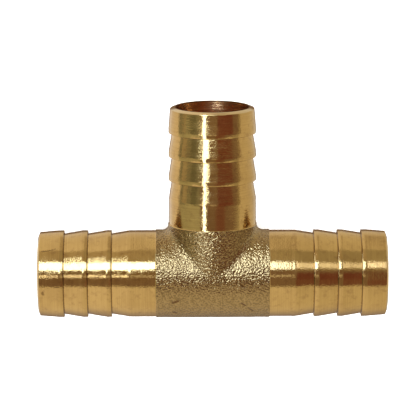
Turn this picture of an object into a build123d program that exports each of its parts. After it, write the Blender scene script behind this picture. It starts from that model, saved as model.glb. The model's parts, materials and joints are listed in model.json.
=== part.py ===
from build123d import *
from build123d.topology import SkipClean
import os

# A brass three-way hose tee, forged and turned from one piece.
# The run lies along X and the branch along +Y. Their axes cross at the origin, and +Z is up
# when the tee lies flat.

# Driving dimensions, in millimetres.
# The hose tails are all alike, and their lengths are given from the body outwards.
crest_diameter = 20.0
barb_height = 0.75
wall_at_root = 0.85
barb_count = 3
barb_pitch = 5.45
crest_land = 1.0
plain_relief = 0.05
plain_length = 5.95
neck_length = 4.2
nose_length = 5.9
nose_relief = 0.35
chamfer_length = 0.6
rim_width = 0.3

# The forged body between the tails.
shoulder_step = 0.2
shoulder_chamfer = 0.12
crotch_radius = 1.5
crotch_fade = 0.3
run_collar = 1.4
branch_collar = 0.25

# Radii and lengths that follow from them.
crest_radius = crest_diameter / 2
root_radius = crest_radius - barb_height
bore_radius = root_radius - wall_at_root
plain_radius = crest_radius - plain_relief
nose_radius = crest_radius - nose_relief
rim_radius = bore_radius + rim_width
body_radius = plain_radius + shoulder_step
run_reach = body_radius + crotch_radius + run_collar
branch_reach = body_radius + crotch_radius + branch_collar
tail_length = plain_length + neck_length + (barb_count - 1) * barb_pitch + nose_length

# The three legs: the way each one points, and how far the body reaches along it.
legs = [
    ((1, 0, 0), run_reach),
    ((-1, 0, 0), run_reach),
    ((0, 1, 0), branch_reach),
]


def leg_plane(direction):
    """Workplane at the crossing of the axes, facing out along one leg.

    Its X side, where round faces close, is kept off the top and the underside, so that no seam
    runs through the point where the crotch fillets meet.
    """
    return Plane(origin=(0, 0, 0), x_dir=(1, -1, 0), z_dir=direction)


def round_bar(radius, length):
    """Round bar that stands on the crossing of the axes."""
    return Cylinder(radius, length, align=(Align.CENTER, Align.CENTER, Align.MIN))


def body_leg(direction, reach):
    """The body's bar along one leg, with the edge of its shoulder broken."""
    bar = round_bar(body_radius, reach)
    shoulder = bar.edges().group_by(Axis.Z)[-1]
    return leg_plane(direction) * chamfer(shoulder, shoulder_chamfer)


def crotch_side(bars):
    """The +X side of the bars with its crotch filleted, up to where the fillet has faded out."""
    side = split(bars, bisect_by=Plane.YZ.offset(crotch_fade), keep=Keep.TOP)
    crease = side.edges().filter_by(GeomType.ELLIPSE)
    return fillet(crease, crotch_radius)


def forged_body():
    """Three equal bars in one, with a fillet in each crotch."""
    bars = [body_leg(direction, reach) for direction, reach in legs]
    body = bars[0] + bars[1] + bars[2]
    side = crotch_side(body)
    return body + side + mirror(side, about=Plane.YZ)


def barb_points(step_place):
    """Outline of one barb's square step and land. The slope runs on to the next point."""
    return [
        (root_radius, step_place),
        (crest_radius, step_place),
        (crest_radius, step_place + crest_land),
    ]


def tail_outline(reach):
    """Half section of one tail, from the crossing of the axes to its chamfered mouth."""
    first_step = reach + plain_length + neck_length
    mouth = reach + tail_length
    points = [(0, 0), (plain_radius, 0), (plain_radius, reach + plain_length)]
    for barb in range(barb_count):
        points += barb_points(first_step + barb * barb_pitch)
    points += [(nose_radius, mouth - chamfer_length), (rim_radius, mouth), (0, mouth)]
    return points


def hose_tail(direction, reach):
    """One turned tail, solid, with its foot inside the body."""
    outline = Plane.XZ * make_face(Polyline(tail_outline(reach), close=True))
    return leg_plane(direction) * revolve(outline, Axis.Z)


def bore(direction, reach):
    """The straight bore of one leg, from the crossing of the axes out past the mouth."""
    return leg_plane(direction) * round_bar(bore_radius, reach + tail_length + chamfer_length)


def tee_body():
    """The whole tee: one solid with three tails and three bores that meet."""
    tee = forged_body()
    for direction, reach in legs:
        tee += hose_tail(direction, reach)
    # Each leg is drilled from its own mouth. The run's two drillings stay two walls, which meet
    # in the middle.
    with SkipClean():
        for direction, reach in legs:
            tee -= bore(direction, reach)
    return tee


os.makedirs("parts", exist_ok=True)
export_step(tee_body(), "parts/tee_body.step")
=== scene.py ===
import json
from math import acos, atan2, cos, degrees, pi, radians, sin

import bmesh
import bpy
from mathutils import Matrix, Vector


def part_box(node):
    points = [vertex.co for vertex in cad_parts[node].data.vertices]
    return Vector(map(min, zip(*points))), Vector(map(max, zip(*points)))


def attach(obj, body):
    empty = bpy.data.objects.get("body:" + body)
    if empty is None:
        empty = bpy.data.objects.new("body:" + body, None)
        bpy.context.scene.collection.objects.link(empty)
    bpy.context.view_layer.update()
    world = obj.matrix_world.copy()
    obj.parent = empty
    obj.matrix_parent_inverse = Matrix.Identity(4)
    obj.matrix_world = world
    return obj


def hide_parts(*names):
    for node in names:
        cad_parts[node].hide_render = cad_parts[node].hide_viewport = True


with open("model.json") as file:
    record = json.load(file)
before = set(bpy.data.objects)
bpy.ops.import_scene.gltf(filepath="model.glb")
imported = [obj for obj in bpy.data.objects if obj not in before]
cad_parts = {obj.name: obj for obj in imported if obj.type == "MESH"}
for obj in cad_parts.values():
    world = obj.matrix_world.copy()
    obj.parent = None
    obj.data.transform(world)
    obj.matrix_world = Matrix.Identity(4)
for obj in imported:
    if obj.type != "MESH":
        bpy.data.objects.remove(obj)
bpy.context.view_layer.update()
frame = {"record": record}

# One brass hose tee: a forged, shot-blasted body between three turned tails.
# It lies flat on the floor with its run along X, its branch along +Y and +Z up.

mm = 0.001


def mount(name):
    """One of the record's mounts. Its place is in metres and its sizes are in millimetres."""
    return next(entry for entry in frame["record"]["mounts"] if entry["name"] == name)


# Sizes that the frame gives, in metres.
run_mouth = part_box("tee_body")[1].x
branch_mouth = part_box("tee_body")[1].y
body_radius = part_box("tee_body")[1].z
crest_radius = mount("right_tail")["dims"]["r_mm"] * mm
crest_land = mount("right_tail")["dims"]["length_mm"] * mm
bore_radius = mount("run_bore")["dims"]["r_mm"] * mm

# The turned tail, from its plain foot to its mouth.
barb_height = 0.75 * mm
barb_pitch = 5.45 * mm
barb_count = 3
plain_relief = 0.05 * mm
plain_length = 5.95 * mm
neck_length = 4.2 * mm
nose_length = 5.9 * mm
nose_relief = 0.35 * mm
chamfer_length = 0.4 * mm
rim_width = 0.3 * mm
tail_length = plain_length + neck_length + (barb_count - 1) * barb_pitch + nose_length

root_radius = crest_radius - barb_height
plain_radius = crest_radius - plain_relief
nose_radius = crest_radius - nose_relief
rim_radius = bore_radius + rim_width

# The forged body.
shoulder_chamfer = 0.12 * mm
crotch_radius = 1.5 * mm
crotch_top_radius = 3.4 * mm
crotch_slope = 1 + crotch_radius / body_radius
forging_lump = 0.07 * mm
lump_size = 2.6 * mm
lump_fade = 1 * mm

# How sharp the turning tool left each corner.
crest_edge = 0.05 * mm
land_edge = 0.12 * mm
root_corner = 0.15 * mm
shoulder_edge = 0.05 * mm
taper_edge = 0.4 * mm
nose_edge = 0.12 * mm
rim_edge = 0.08 * mm
bore_edge = 0.1 * mm

# How finely the piece is divided, and how sharp an edge may be and still look rounded.
steps_round = 192
corner_segments = 3
crotch_rows = 10
body_rows = 40
smooth_angle = radians(35)

# Points this close together are welded, or count as being in the same place.
weld_distance = 0.002 * mm
same_place = 0.01 * mm

# The legs: which way each one points, and how far its mouth is from the crossing.
right = Vector((1, 0, 0))
left = Vector((-1, 0, 0))
branch = Vector((0, 1, 0))
up = Vector((0, 0, 1))
legs = ((right, run_mouth), (left, run_mouth), (branch, branch_mouth))


# Small helpers for working in edit mode.

def deselect_objects():
    """Clears the selection, which the frame leaves full."""
    bpy.ops.object.select_all(action="DESELECT")
    bpy.context.view_layer.objects.active = None


def edit_mesh():
    """The mesh that is being edited."""
    return bmesh.from_edit_mesh(bpy.context.object.data)


def update_mesh():
    """Shows Blender what was selected or moved in code."""
    mesh = edit_mesh()
    mesh.select_flush_mode()
    bmesh.update_edit_mesh(bpy.context.object.data)


def select_points(wanted):
    """Selects the points whose place is wanted."""
    bpy.ops.mesh.select_mode(type="VERT")
    bpy.ops.mesh.select_all(action="DESELECT")
    for point in edit_mesh().verts:
        point.select = wanted(point.co)
    update_mesh()


def select_faces(wanted):
    """Selects the faces all of whose corners are wanted."""
    bpy.ops.mesh.select_mode(type="FACE")
    bpy.ops.mesh.select_all(action="DESELECT")
    for face in edit_mesh().faces:
        face.select = all(wanted(point.co) for point in face.verts)
    update_mesh()


def select_edges(wanted):
    """Selects the edges that are wanted."""
    bpy.ops.mesh.select_mode(type="EDGE")
    bpy.ops.mesh.select_all(action="DESELECT")
    for edge in edit_mesh().edges:
        edge.select = wanted(edge)
    update_mesh()


def off_axis(place, direction):
    """How far a place is from a leg's axis."""
    return (place - direction * place.dot(direction)).length


def on_skin(place, direction, radius):
    """Whether a place is on a leg's skin of this radius."""
    return abs(off_axis(place, direction) - radius) < same_place


def room_to_shoulder(place):
    """How far a place on the forged body is from the shoulder nearest to it."""
    run_room = run_mouth - tail_length - abs(place.x)
    branch_room = branch_mouth - tail_length - place.y
    return min(run_room, branch_room)


# The section of one leg, as (distance along the axis, radius, how far the corner is rounded).

def barb_section(step):
    """One barb: its square step at the body's side, its land, and the slope that runs on."""
    return [
        (step, root_radius, root_corner),
        (step, crest_radius, crest_edge),
        (step + crest_land, crest_radius, land_edge),
    ]


def leg_section(mouth):
    """From the crossing along the outside, round the mouth and back along the bore."""
    shoulder = mouth - tail_length
    taper_start = shoulder + plain_length
    first_step = taper_start + neck_length
    section = [
        (0, body_radius, 0),
        (shoulder - shoulder_chamfer, body_radius, shoulder_edge),
        (shoulder, body_radius - shoulder_chamfer, 0),
        (shoulder, plain_radius, 0),
        (taper_start, plain_radius, taper_edge),
    ]
    for barb in range(barb_count):
        section += barb_section(first_step + barb * barb_pitch)
    section += [
        (mouth - chamfer_length, nose_radius, nose_edge),
        (mouth, rim_radius, rim_edge),
        (mouth, bore_radius, bore_edge),
        (0, bore_radius, 0),
    ]
    return section


def draw_section(direction, section):
    """Draws a leg's section as a chain of edges, point by point, and rounds its corners."""
    places = [direction * along + up * radius for along, radius, rounding in section]
    bpy.ops.mesh.primitive_plane_add(size=mm)
    bpy.ops.object.mode_set(mode="EDIT")
    bpy.ops.mesh.select_mode(type="VERT")
    bpy.ops.mesh.select_all(action="SELECT")
    bpy.ops.mesh.merge(type="CENTER")
    bpy.ops.transform.translate(value=places[0])
    for start, end in zip(places, places[1:]):
        bpy.ops.mesh.extrude_region_move(TRANSFORM_OT_translate={"value": end - start})
    for place, (along, radius, rounding) in zip(places, section):
        if rounding:
            select_points(lambda other: (other - place).length < weld_distance)
            bpy.ops.mesh.bevel(
                offset=rounding, offset_type="OFFSET", segments=corner_segments, affect="VERTICES"
            )


def cut_mitre(direction, others, radius, slope):
    """Cuts one skin of a leg back to where it meets the legs beside it.

    With a slope of 1 the cut is the mitre of two equal bars, and a steeper one leaves room for
    the fillet between them.
    """
    for other in others:
        select_faces(lambda place: on_skin(place, direction, radius))
        outward = (direction - other * slope).normalized()
        bpy.ops.mesh.bisect(
            plane_co=(0, 0, 0), plane_no=outward, clear_inner=True, threshold=weld_distance
        )


def crotch_reach(turn):
    """Distance from the crossing to the fillet's middle line, which a ball's centre follows.

    The ball is smallest at the tee's sides and grows towards its top and its underside. turn
    is the angle up from the tee's middle plane.
    """
    return body_radius + crotch_radius + (crotch_top_radius - crotch_radius) * sin(turn) ** 2


def ease_cut(direction):
    """Slides the body's cut edge out along the leg, to where the growing fillet starts."""
    for point in edit_mesh().verts:
        along = point.co.dot(direction)
        beside = abs(point.co.dot(branch if direction != branch else right))
        at_cut = along > same_place and abs(along - crotch_slope * beside) < same_place
        if at_cut and on_skin(point.co, direction, body_radius):
            turn = acos(min(1, along / (body_radius + crotch_radius)))
            point.co = point.co + direction * (crotch_reach(turn) * cos(turn) - along)
    update_mesh()


def divide_body_skin(direction):
    """Divides the body's skin along the leg, so that it can take the forging's lumps."""

    def runs_along(edge):
        start, end = (point.co for point in edge.verts)
        both_on_skin = all(on_skin(place, direction, body_radius) for place in (start, end))
        return both_on_skin and off_axis(end - start, direction) < same_place

    select_edges(runs_along)
    bpy.ops.mesh.subdivide(number_cuts=body_rows)


def mark_from_mouth(piece, direction, mouth):
    """Keeps each point's distance from its own leg's mouth, which the turned finish follows."""
    from_mouth = piece.data.attributes.new("from_mouth", "FLOAT", "POINT")
    for point in piece.data.vertices:
        from_mouth.data[point.index].value = mouth - point.co.dot(direction)


def leg(direction, mouth):
    """One leg of the tee, open where it meets the others."""
    deselect_objects()
    draw_section(direction, leg_section(mouth))
    bpy.ops.mesh.select_all(action="SELECT")
    bpy.ops.mesh.spin(steps=steps_round, angle=2 * pi, center=(0, 0, 0), axis=direction)
    bpy.ops.mesh.select_all(action="SELECT")
    bpy.ops.mesh.remove_doubles(threshold=weld_distance)
    beside = (right, left) if direction == branch else (branch,)
    cut_mitre(direction, beside, body_radius, crotch_slope)
    cut_mitre(direction, beside, bore_radius, 1)
    ease_cut(direction)
    divide_body_skin(direction)
    bpy.ops.object.mode_set(mode="OBJECT")
    piece = bpy.context.object
    mark_from_mouth(piece, direction, mouth)
    return piece


def crotch_place(side, turn, share):
    """A point of the crotch fillet, on the arc where its ball touches both bars.

    share runs from 0 on the run's side to 1 on the branch's.
    """
    reach = crotch_reach(turn)
    centre = reach * Vector((side * cos(turn), cos(turn), sin(turn)))
    to_run = Vector((0, -cos(turn), -sin(turn)))
    to_branch = Vector((-side * cos(turn), 0, -sin(turn)))
    return centre + (reach - body_radius) * to_run.slerp(to_branch, share)


def extrude_crotch(side):
    """Draws the run's cut edge on one side across the crotch, row by row, to the branch."""

    def on_cut(edge):
        places = [point.co for point in edge.verts]
        starts = [crotch_place(side, atan2(place.z, place.y), 0) for place in places]
        at_start = all((place - start).length < same_place for place, start in zip(places, starts))
        return edge.is_boundary and at_start

    select_edges(on_cut)
    mesh = edit_mesh()
    turn = mesh.verts.layers.float.new("turn")
    for point in mesh.verts:
        if point.select:
            point[turn] = atan2(point.co.z, point.co.y)
    update_mesh()
    for row in range(1, crotch_rows + 1):
        bpy.ops.mesh.extrude_edges_move()
        mesh = edit_mesh()
        turn = mesh.verts.layers.float["turn"]
        for point in mesh.verts:
            if point.select:
                point.co = crotch_place(side, point[turn], row / crotch_rows)
        update_mesh()
    mesh = edit_mesh()
    mesh.verts.layers.float.remove(mesh.verts.layers.float["turn"])
    update_mesh()


def lump_forging(tee):
    """Presses the slight unevenness of a forging into the body, between its shoulders."""
    forged = tee.vertex_groups.new(name="forged")
    for point in tee.data.vertices:
        nearest_axis = min(off_axis(point.co, right), off_axis(point.co, branch))
        room = room_to_shoulder(point.co)
        if nearest_axis > plain_radius + same_place and room > 0:
            forged.add([point.index], min(1, room / lump_fade), "REPLACE")
    clouds = bpy.data.textures.new("forging lumps", "CLOUDS")
    clouds.noise_scale = lump_size
    clouds.noise_depth = 2
    lumps = tee.modifiers.new("lumps", "DISPLACE")
    lumps.texture = clouds
    lumps.texture_coords = "LOCAL"
    lumps.vertex_group = "forged"
    lumps.mid_level = 1
    lumps.strength = forging_lump
    bpy.context.view_layer.objects.active = tee
    bpy.ops.object.modifier_apply(modifier="lumps")
    tee.vertex_groups.clear()


def keep_flats_flat(tee):
    """Lets the wide faces set the shading, so that only the rounded corners look rounded."""
    shading = tee.modifiers.new("shading", "WEIGHTED_NORMAL")
    shading.mode = "FACE_AREA"
    shading.weight = 50
    shading.keep_sharp = True
    bpy.ops.object.modifier_apply(modifier="shading")


def hose_tee():
    """The whole tee, as one closed skin."""
    pieces = [leg(direction, mouth) for direction, mouth in legs]
    deselect_objects()
    for piece in pieces:
        piece.select_set(True)
    tee = pieces[0]
    bpy.context.view_layer.objects.active = tee
    bpy.ops.object.join()
    bpy.ops.object.mode_set(mode="EDIT")
    for side in (1, -1):
        extrude_crotch(side)
    bpy.ops.mesh.select_all(action="SELECT")
    bpy.ops.mesh.remove_doubles(threshold=weld_distance)
    bpy.ops.mesh.normals_make_consistent(inside=False)
    bpy.ops.object.mode_set(mode="OBJECT")
    lump_forging(tee)
    bpy.ops.object.shade_smooth_by_angle(angle=smooth_angle)
    keep_flats_flat(tee)
    tee.name = "tee"
    return tee


# Shader arithmetic.

class Value:
    """An output of a shader node, on which plain arithmetic adds Math nodes."""

    def __init__(self, tree, output):
        self.tree = tree
        self.output = output

    def math(self, operation, first, second):
        """One Math node on two outputs or plain numbers."""
        node = self.tree.nodes.new("ShaderNodeMath")
        node.operation = operation
        for socket, value in zip(node.inputs, (first, second)):
            fill(self.tree, socket, value)
        return Value(self.tree, node.outputs[0])

    def __add__(self, other):
        return self.math("ADD", self, other)

    def __radd__(self, other):
        return self.math("ADD", other, self)

    def __sub__(self, other):
        return self.math("SUBTRACT", self, other)

    def __rsub__(self, other):
        return self.math("SUBTRACT", other, self)

    def __mul__(self, other):
        return self.math("MULTIPLY", self, other)

    def __rmul__(self, other):
        return self.math("MULTIPLY", other, self)

    def __truediv__(self, other):
        return self.math("DIVIDE", self, other)


def fill(tree, socket, value):
    """Links another node's output to a socket, or sets the socket to a plain value."""
    if isinstance(value, Value):
        tree.links.new(value.output, socket)
    else:
        socket.default_value = value


# A Mix node's sockets when it mixes colours: the share and the two colours, and the result.
mix_inputs = (0, 6, 7)
mix_output = 2


class Shader:
    """A node tree that is being filled."""

    def __init__(self, owner):
        owner.use_nodes = True
        self.tree = owner.node_tree
        self.tree.nodes.clear()

    def node(self, kind, settings=None, **sockets):
        """Adds one node, sets it up, then fills or links its sockets by their names."""
        node = self.tree.nodes.new(kind)
        for name, setting in (settings or {}).items():
            setattr(node, name, setting)
        for name, value in sockets.items():
            fill(self.tree, node.inputs[name.replace("_", " ")], value)
        return node

    def out(self, node, name=0):
        """One output of a node, ready for arithmetic."""
        return Value(self.tree, node.outputs[name])

    def place(self):
        """The place on the piece, in metres from the crossing of the axes."""
        return self.out(self.node("ShaderNodeTexCoord"), "Object")

    def from_mouth(self):
        """The distance along a leg from its mouth, in metres."""
        attribute = self.node("ShaderNodeAttribute", {"attribute_name": "from_mouth"})
        return self.out(attribute, "Fac")

    def smooth(self, value, start, end):
        """0 below start and 1 above end, with soft ends."""
        node = self.node(
            "ShaderNodeMapRange",
            {"interpolation_type": "SMOOTHSTEP"},
            Value=value,
            From_Min=start,
            From_Max=end,
        )
        return self.out(node)

    def between(self, value, low, high, soft):
        """1 between low and high, fading out over soft on both sides."""
        past_low = self.smooth(value, low - soft, low + soft)
        past_high = self.smooth(value, high - soft, high + soft)
        return past_low * (1 - past_high)

    def mix(self, share, first, second):
        """A colour between two others."""
        node = self.tree.nodes.new("ShaderNodeMix")
        node.data_type = "RGBA"
        for number, value in zip(mix_inputs, (share, first, second)):
            opaque = (*value, 1) if isinstance(value, tuple) else value
            fill(self.tree, node.inputs[number], opaque)
        return Value(self.tree, node.outputs[mix_output])

    def noise(self, place, scale, detail=2.0, roughness=0.5):
        """A cloudy pattern between 0 and 1, with scale clouds to the metre."""
        node = self.node(
            "ShaderNodeTexNoise", Vector=place, Scale=scale, Detail=detail, Roughness=roughness
        )
        return self.out(node, "Fac")

    def ring_noise(self, place, along, scale, squeeze):
        """Clouds drawn out round the leg: they are squeezed along it by this much."""
        node = self.node(
            "ShaderNodeTexNoise",
            {"noise_dimensions": "4D"},
            Vector=place,
            W=along * squeeze,
            Scale=scale,
            Detail=2.0,
        )
        return self.out(node, "Fac")

    def vector_math(self, operation, first, second, name="Vector"):
        """One Vector Math node on two vectors, or on a vector and a number to scale it by."""
        node = self.tree.nodes.new("ShaderNodeVectorMath")
        node.operation = operation
        fill(self.tree, node.inputs[0], first)
        fill(self.tree, node.inputs["Scale" if operation == "SCALE" else 1], second)
        return Value(self.tree, node.outputs[name])

    def mark(self, place, start, end, width):
        """1 on the line between two points, which are in millimetres, fading out to its width."""
        line = (Vector(end) - Vector(start)) * mm
        from_start = self.vector_math("SUBTRACT", place, Vector(start) * mm)
        along = self.vector_math("DOT_PRODUCT", from_start, line.normalized(), "Value")
        along = along.math("MAXIMUM", along, 0.0)
        along = along.math("MINIMUM", along, line.length)
        nearest = self.vector_math("SCALE", line.normalized(), along)
        distance = self.vector_math("DISTANCE", from_start, nearest, "Value")
        ragged = self.noise(place, scale=4000, detail=1.0) * (2 * width * mm)
        return 1 - self.smooth(distance / ragged, start=0.4, end=1.0)

    def marks(self, place, lines):
        """Several marks in one pattern, each given as (start, end, width)."""
        pattern = 0.0
        for start, end, width in lines:
            pattern = self.mark(place, start, end, width) + pattern
        return pattern

    def choose(self, choice, first, second):
        """The first shader where choice is 0, and the second where it is 1."""
        node = self.node("ShaderNodeMixShader", Fac=choice)
        self.tree.links.new(first.outputs[0], node.inputs[1])
        self.tree.links.new(second.outputs[0], node.inputs[2])
        return node

    def end(self, kind, surface):
        """Ends the tree: links the finished shader to an output node of this kind."""
        output = self.node(kind)
        self.tree.links.new(surface.outputs[0], output.inputs[0])

    def finish_metal(self, colour, roughness, height):
        """Ends a metal finish: its colour and roughness vary, and its height is in millimetres."""
        bump = self.node("ShaderNodeBump", Strength=1.0, Distance=mm, Height=height)
        metal = self.node(
            "ShaderNodeBsdfPrincipled",
            Base_Color=colour,
            Metallic=1.0,
            Roughness=roughness,
            Normal=self.out(bump),
        )
        self.end("ShaderNodeOutputMaterial", metal)


# The colours of the metal and of what has settled on it, and the dark colour of the painted shade.
bright_brass = (0.56, 0.355, 0.122)
deep_brass = (0.48, 0.295, 0.10)
faced_brass_highlight = (0.78, 0.66, 0.42)
blasted_light = (0.37, 0.24, 0.096)
blasted_dark = (0.25, 0.158, 0.06)
stained_brass = (0.42, 0.25, 0.088)
bore_brass = (0.80, 0.45, 0.18)
bore_tarnish = (0.62, 0.31, 0.12)
# Dark brown: dirt in the scratches, painted shade under each step and inside each mouth, and both
# in the pits.
dirt_and_shade = (0.15, 0.07, 0.02)

# How wide the painted shade is under each step and inside each mouth, and how the rim's colour
# ends.
corner_shade_width = 0.22 * mm
mouth_shade_width = 0.25 * mm
rim_fade = 0.1 * mm

# How far each of these covers the metal's own colour, from 0 to 1.
scratch_share = 0.7
pit_share = 0.9
corner_shade_share = 0.6
mouth_shade_share = 0.8
rim_highlight_share = 0.25

# Each finish's roughness where it is smoothest, and how much it adds where it is dullest.
turned_roughness = 0.07
turned_dullness = 0.09
blasted_roughness = 0.09
blasted_dullness = 0.07
bored_roughness = 0.14
bored_dullness = 0.08

# How deep each pattern is, in millimetres.
fine_ring_depth = 0.002
tool_ring_depth = 0.012
broad_mark_depth = 0.005
peel_depth = 0.018
grain_depth = 0.21
dent_depth = 0.1
pit_depth = 0.1
drill_ring_depth = 0.025

# Small marks of casting and handling, as (start, end, width) in millimetres.
turned_marks = [
    ((-38.9, 6.7, 7.0), (-36.6, 6.9, 6.9), 0.22),
    ((-36.6, 6.9, 6.9), (-35.6, 7.3, 6.6), 0.22),
    ((-38.7, -2.4, 9.4), (-38.6, -2.7, 9.3), 0.45),
]
blasted_pits = [
    ((-9.1, -4.9, 8.8), (-7.9, -4.5, 9.1), 0.4),
    ((-8.9, -7.6, 6.6), (-8.4, -7.8, 6.4), 0.38),
    ((-6.9, 0.3, 10.1), (-5.6, -0.2, 10.1), 0.4),
    ((6.3, -0.4, 10.1), (7.2, -1.1, 10.0), 0.4),
    ((6.5, -5.1, 8.8), (7.4, -5.7, 8.3), 0.22),
    ((8.1, -6.4, 7.8), (9.2, -7.3, 7.0), 0.22),
]


def turned_brass():
    """Brass as the turning tool left it: rings round the leg, fine streaks and a slight tarnish.

    Shade is painted dark into the corner under each step, and the faced rim is painted paler,
    partly as a painted highlight.
    """
    material = bpy.data.materials.new("turned brass")
    shader = Shader(material)
    place = shader.place()
    from_mouth = shader.from_mouth()
    fine_rings = shader.ring_noise(place, from_mouth, scale=60, squeeze=80)
    tool_rings = shader.ring_noise(place, from_mouth, scale=60, squeeze=36)
    broad_marks = shader.ring_noise(place, from_mouth, scale=320, squeeze=3)
    peel = shader.noise(place, scale=3000, detail=1.0)
    tarnish = shader.noise(place, scale=160, detail=3.0)
    stains = shader.noise(place, scale=700, detail=3.0, roughness=0.6)
    deep = shader.smooth(tarnish * 0.55 + fine_rings * 0.45, start=0.35, end=0.65)
    colour = shader.mix(deep, bright_brass, deep_brass)
    colour = shader.mix(shader.smooth(stains, start=0.48, end=0.8), colour, stained_brass)
    colour = shader.mix(shader.marks(place, turned_marks) * scratch_share, colour, dirt_and_shade)
    # Painted shade: a dark band in the corner under each step.
    for barb in range(barb_count):
        step = nose_length + barb * barb_pitch
        corner = shader.between(from_mouth, step, step + corner_shade_width, corner_shade_width / 4)
        colour = shader.mix(corner * corner_shade_share, colour, dirt_and_shade)
    # Painted highlight, in part: the faced rim is made paler.
    rim = 1 - shader.smooth(from_mouth, chamfer_length, chamfer_length + rim_fade)
    colour = shader.mix(rim * rim_highlight_share, colour, faced_brass_highlight)
    dull = shader.smooth(broad_marks, start=0.35, end=0.7)
    roughness = turned_roughness + turned_dullness * dull
    height = (
        fine_rings * fine_ring_depth
        + tool_rings * tool_ring_depth
        + broad_marks * broad_mark_depth
        + peel * peel_depth
    )
    shader.finish_metal(colour, roughness, height)
    return material


def blasted_brass():
    """The forged skin after shot-blasting: an even grain of small dimples, with a few pits."""
    material = bpy.data.materials.new("blasted brass")
    shader = Shader(material)
    place = shader.place()
    grain = shader.noise(place, scale=2400, detail=1.0)
    dents = shader.noise(place, scale=520)
    patches = shader.noise(place, scale=120)
    pits = shader.marks(place, blasted_pits)
    colour = shader.mix(shader.smooth(grain, start=0.35, end=0.6), blasted_dark, blasted_light)
    # The pits are darkened, partly as dirt and partly as painted shade.
    colour = shader.mix(pits * pit_share, colour, dirt_and_shade)
    roughness = blasted_roughness + blasted_dullness * patches
    height = grain * grain_depth + dents * dent_depth - pits * pit_depth
    shader.finish_metal(colour, roughness, height)
    return material


def bored_brass():
    """The drilled inside: tarnished, ringed by the drill, with shade painted nearly black at its
    edge by the mouth.
    """
    material = bpy.data.materials.new("bored brass")
    shader = Shader(material)
    place = shader.place()
    from_mouth = shader.from_mouth()
    drill_rings = shader.ring_noise(place, from_mouth, scale=60, squeeze=250)
    tarnish = shader.noise(place, scale=200, detail=3.0)
    colour = shader.mix(shader.smooth(tarnish, start=0.3, end=0.7), bore_brass, bore_tarnish)
    # Painted shade: the bore darkens to near black just inside the mouth.
    edge = 1 - shader.smooth(from_mouth, bore_edge, bore_edge + mouth_shade_width)
    colour = shader.mix(edge * mouth_shade_share, colour, dirt_and_shade)
    roughness = bored_roughness + bored_dullness * tarnish
    shader.finish_metal(colour, roughness, drill_rings * drill_ring_depth)
    return material


def finish_tee(tee):
    """Gives each part of the skin the finish that its making left."""
    for material in (turned_brass(), blasted_brass(), bored_brass()):
        tee.data.materials.append(material)
    turned_slot, blasted_slot, bored_slot = range(3)
    middle_of_rim = rim_radius - rim_width / 2
    for face in tee.data.polygons:
        place = face.center
        in_run = off_axis(place, right) < middle_of_rim
        in_branch = place.y > 0 and off_axis(place, branch) < middle_of_rim
        if in_run or in_branch:
            face.material_index = bored_slot
        elif room_to_shoulder(place) > shoulder_chamfer:
            face.material_index = blasted_slot
        else:
            face.material_index = turned_slot


# The camera, as the photograph was taken: far off, almost straight down, leaning to the branch.
frame_pixels = 420
focal_pixels = 2912.0
sensor_width = 36.0
camera_distance = 667.47 * mm
camera_lean = radians(11.318)
camera_sideways = radians(-0.298)
camera_roll = radians(-0.144)
camera_target = Vector((-0.565, 14.82, 0)) * mm


def photograph_camera():
    """The camera that sees the tee as the photograph does."""
    backward = Vector(
        (
            sin(camera_sideways),
            sin(camera_lean) * cos(camera_sideways),
            cos(camera_lean) * cos(camera_sideways),
        )
    )
    rightward = branch.cross(backward).normalized()
    upward = backward.cross(rightward)
    turned = Matrix.Rotation(camera_roll, 3, backward)
    rightward = turned @ rightward
    upward = turned @ upward
    lens = bpy.data.cameras.new("camera")
    lens.sensor_width = sensor_width
    lens.lens = focal_pixels * sensor_width / frame_pixels
    lens.clip_start = 0.01
    lens.clip_end = 50
    camera = bpy.data.objects.new("camera", lens)
    bpy.context.scene.collection.objects.link(camera)
    turn = Matrix((rightward, upward, backward)).transposed().to_4x4()
    camera.matrix_world = Matrix.Translation(camera_target + backward * camera_distance) @ turn
    bpy.context.scene.camera = camera


# The studio. The room is given as angles to each side of straight up, in degrees: sideways from
# left to right, and lengthways from the run's side to the branch's.
pale_left = (1.06, 1.03, 0.98)
pale_right = (0.83, 0.79, 0.66)
grey_ceiling = (0.53, 0.50, 0.39)
pale_ceiling = (0.64, 0.58, 0.46)
green_wall = (0.34, 0.36, 0.30)
dark_green_wall = (0.24, 0.26, 0.20)
brown_wall = (0.31, 0.23, 0.18)
olive_wall = (0.40, 0.35, 0.24)
red_wall = (0.25, 0.10, 0.08)
dull_red_wall = (0.28, 0.14, 0.11)
green_ceiling = (0.60, 0.64, 0.52)
under_shade = (0.26, 0.17, 0.10)
front_shade = (0.24, 0.16, 0.08)
behind_right = (0.66, 0.60, 0.50)
side_window = (0.95, 1.3, 1.8)
daylight_left = (2.6, 2.6, 2.6)
daylight_right = (2.4, 2.4, 2.4)

# Each patch of the room: lowest and highest angle sideways, the same lengthways, how soft its
# edges are, and its colour. A later patch covers the earlier ones.
room_patches = [
    (-98, 75, -25, 77, 1.5, grey_ceiling),
    (-98, 2, 48, 77, 2, pale_ceiling),
    (-75, -32, -25, -8, 2, green_ceiling),
    (-75, -32, -8, 20, 2, green_wall),
    (-61, -44, -8, 20, 2, dark_green_wall),
    (-32, 9, -23, 20, 2, brown_wall),
    (9, 72, -25, 20, 3, brown_wall),
    (72, 79, -25, 20, 2, olive_wall),
    (13, 56, -8, 12, 2, red_wall),
    (8, 32, -23, -7, 3, dull_red_wall),
    (42, 80, 25, 56, 3, red_wall),
]

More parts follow.
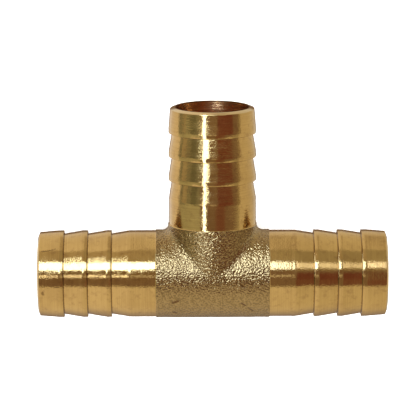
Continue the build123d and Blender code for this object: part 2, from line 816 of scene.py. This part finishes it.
# The lights hang over the tee, where the metal alone sees them. Each is given by its four
# corners in millimetres, in rows.
light_height = 170
white_light = (5.2, 6.9, 10.0)
less_white_light = (3.8, 5.1, 8.2)
strong_light = (14.0, 20.0, 32.0)
faint_light = (2.6, 3.0, 4.2)
fainter_light = (1.6, 1.75, 2.0)
grey_light = (2.6, 2.9, 3.4)
dim_light = (0.9, 0.9, 0.9)


def hung(x_low, x_high, y_low, y_high, height=light_height):
    """The corners of a light that lies level over the tee."""
    return [(x, y, height) for y in (y_low, y_high) for x in (x_low, x_high)]


def stood(x, y_low, y_high, z_low, z_high):
    """The corners of a light that stands on edge, parallel to the branch, and shines to +X."""
    return [(x, y, z) for z in (z_low, z_high) for y in (y_low, y_high)]


# A narrow light that slants away to the left, so that the left tail's inner barb alone mirrors it.
slanted_corners = [(-111, 158, 170), (-103, 158, 170), (-138, 268, 170), (-130, 268, 170)]

lights = [
    ("long_light", hung(-120, -88, 68, 158), white_light),
    ("long_light_step", hung(-88, -28, 66, 154), white_light),
    ("long_light_end", hung(-28, 3, 70, 148), white_light),
    ("long_light_right", hung(3, 25, 70, 148), less_white_light),
    ("faint_light", hung(66, 80, 80, 146), faint_light),
    ("faint_light_end", hung(80, 118, 80, 143), fainter_light),
    ("line_light", hung(-118, -66, 7, 22), grey_light),
    ("line_light_end", hung(-38, 30, 8, 20), dim_light),
    ("cross_light", stood(-12.5, 2, 75, 31.5, 43.5), white_light),
    ("cross_light_foot", hung(-65, -30, 46, 66), white_light),
    ("bore_light", stood(-12.6, 44, 75, 27, 54), strong_light),
    ("barb_light", slanted_corners, white_light),
]


def painted_walls(shader, x, y, z):
    """The room's walls, as a colour for each direction.

    Each wall fades in or out between two values of the direction's x, y or z, from -1 to 1.
    """
    left_wall = (1 - shader.smooth(x, -0.82, -0.74)) * shader.smooth(z, -0.25, -0.12)
    left_colour = shader.mix(shader.smooth(y, -0.22, -0.1), green_ceiling, green_wall)
    right_wall = shader.smooth(x, 0.74, 0.82) * shader.smooth(z, 0.22, 0.28)
    below = 1 - shader.smooth(z, -0.97, -0.88)
    in_front = (1 - shader.smooth(z, -1.1, -0.1)) * (1 - shader.smooth(y, -0.5, -0.25))
    behind = shader.between(x, 0.01, 0.18, 0.01) * shader.smooth(y, 0.7, 0.8)
    beside = shader.smooth(x * x, 0.64, 0.81) * shader.between(y, 0.25, 0.42, 0.04)
    window = beside * shader.between(z, -0.4, 0.1, 0.05)
    walls = [
        (left_wall, left_colour),
        (right_wall, grey_ceiling),
        (below, under_shade),
        (in_front, front_shade),
        (behind, behind_right),
        (window, side_window),
    ]
    light = shader.mix(shader.smooth(x, -0.45, 0.45), pale_left, pale_right)
    for wall, colour in walls:
        light = shader.mix(wall, light, colour)
    return light


def painted_patches(shader, light, x, y, z):
    """The room's patches, painted over its walls."""
    sideways = x.math("ARCTAN2", x, z) * degrees(1)
    lengthways = y.math("ARCTAN2", y, z) * degrees(1)
    for x_low, x_high, y_low, y_high, soft, colour in room_patches:
        across = shader.between(sideways, x_low, x_high, soft)
        along = shader.between(lengthways, y_low, y_high, soft)
        light = shader.mix(across * along, light, colour)
    return light


def studio():
    """The room around the tee. The metal mirrors it, and all else is lit by its even daylight."""
    world = bpy.data.worlds.new("studio")
    bpy.context.scene.world = world
    world.cycles.sampling_method = "NONE"
    shader = Shader(world)
    toward = shader.out(shader.node("ShaderNodeTexCoord"), "Generated")
    parts = shader.node("ShaderNodeSeparateXYZ", Vector=toward)
    x, y, z = (shader.out(parts, name) for name in "XYZ")
    light = painted_walls(shader, x, y, z)
    light = painted_patches(shader, light, x, y, z)
    room = shader.node("ShaderNodeBackground", Color=light, Strength=1.0)
    daylight = shader.mix(shader.smooth(x, -1, 1), daylight_left, daylight_right)
    even = shader.node("ShaderNodeBackground", Color=daylight, Strength=1.0)
    mirrored = shader.out(shader.node("ShaderNodeLightPath"), "Is Glossy Ray")
    shader.end("ShaderNodeOutputWorld", shader.choose(mirrored, even, room))


def hang_light(name, corners, colour):
    """Hangs one flat light over the tee. It shows only as a reflection in the metal."""
    deselect_objects()
    bpy.ops.mesh.primitive_plane_add(size=mm)
    light = bpy.context.object
    light.name = name
    for point, corner in zip(light.data.vertices, corners):
        point.co = Vector(corner) * mm
    shines_up = light.data.polygons[0].normal.z > 0.5
    if shines_up:
        light.data.flip_normals()
    material = bpy.data.materials.new(name)
    shader = Shader(material)
    glow = shader.node("ShaderNodeEmission", Color=(*colour, 1), Strength=1.0)
    clear = shader.node("ShaderNodeBsdfTransparent")
    back = shader.out(shader.node("ShaderNodeNewGeometry"), "Backfacing")
    shader.end("ShaderNodeOutputMaterial", shader.choose(back, glow, clear))
    light.data.materials.append(material)
    light.visible_camera = False
    light.visible_diffuse = False
    light.visible_shadow = False


# The floor, whose width is in metres.
floor_width = 6
floor_colour = (0.9, 0.9, 0.9, 1)
floor_glow = 0.4


def pale_floor():
    """A wide, plain floor that the tee lies on.

    It glows a little, so that it is as pale as the photograph's ground. The metal doesn't
    mirror it.
    """
    deselect_objects()
    bpy.ops.mesh.primitive_plane_add(size=floor_width, location=(0, 0, -body_radius))
    floor = bpy.context.object
    floor.name = "floor"
    material = bpy.data.materials.new("pale floor")
    shader = Shader(material)
    board = shader.node(
        "ShaderNodeBsdfPrincipled",
        Base_Color=floor_colour,
        Roughness=0.9,
        Emission_Color=(1, 1, 1, 1),
        Emission_Strength=floor_glow,
    )
    shader.end("ShaderNodeOutputMaterial", board)
    floor.data.materials.append(material)
    floor.visible_glossy = False


tee = hose_tee()
finish_tee(tee)
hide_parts("tee_body")
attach(tee, "root")
photograph_camera()
studio()
for name, corners, colour in lights:
    hang_light(name, corners, colour)
pale_floor()
bpy.context.scene.view_settings.view_transform = "Standard"
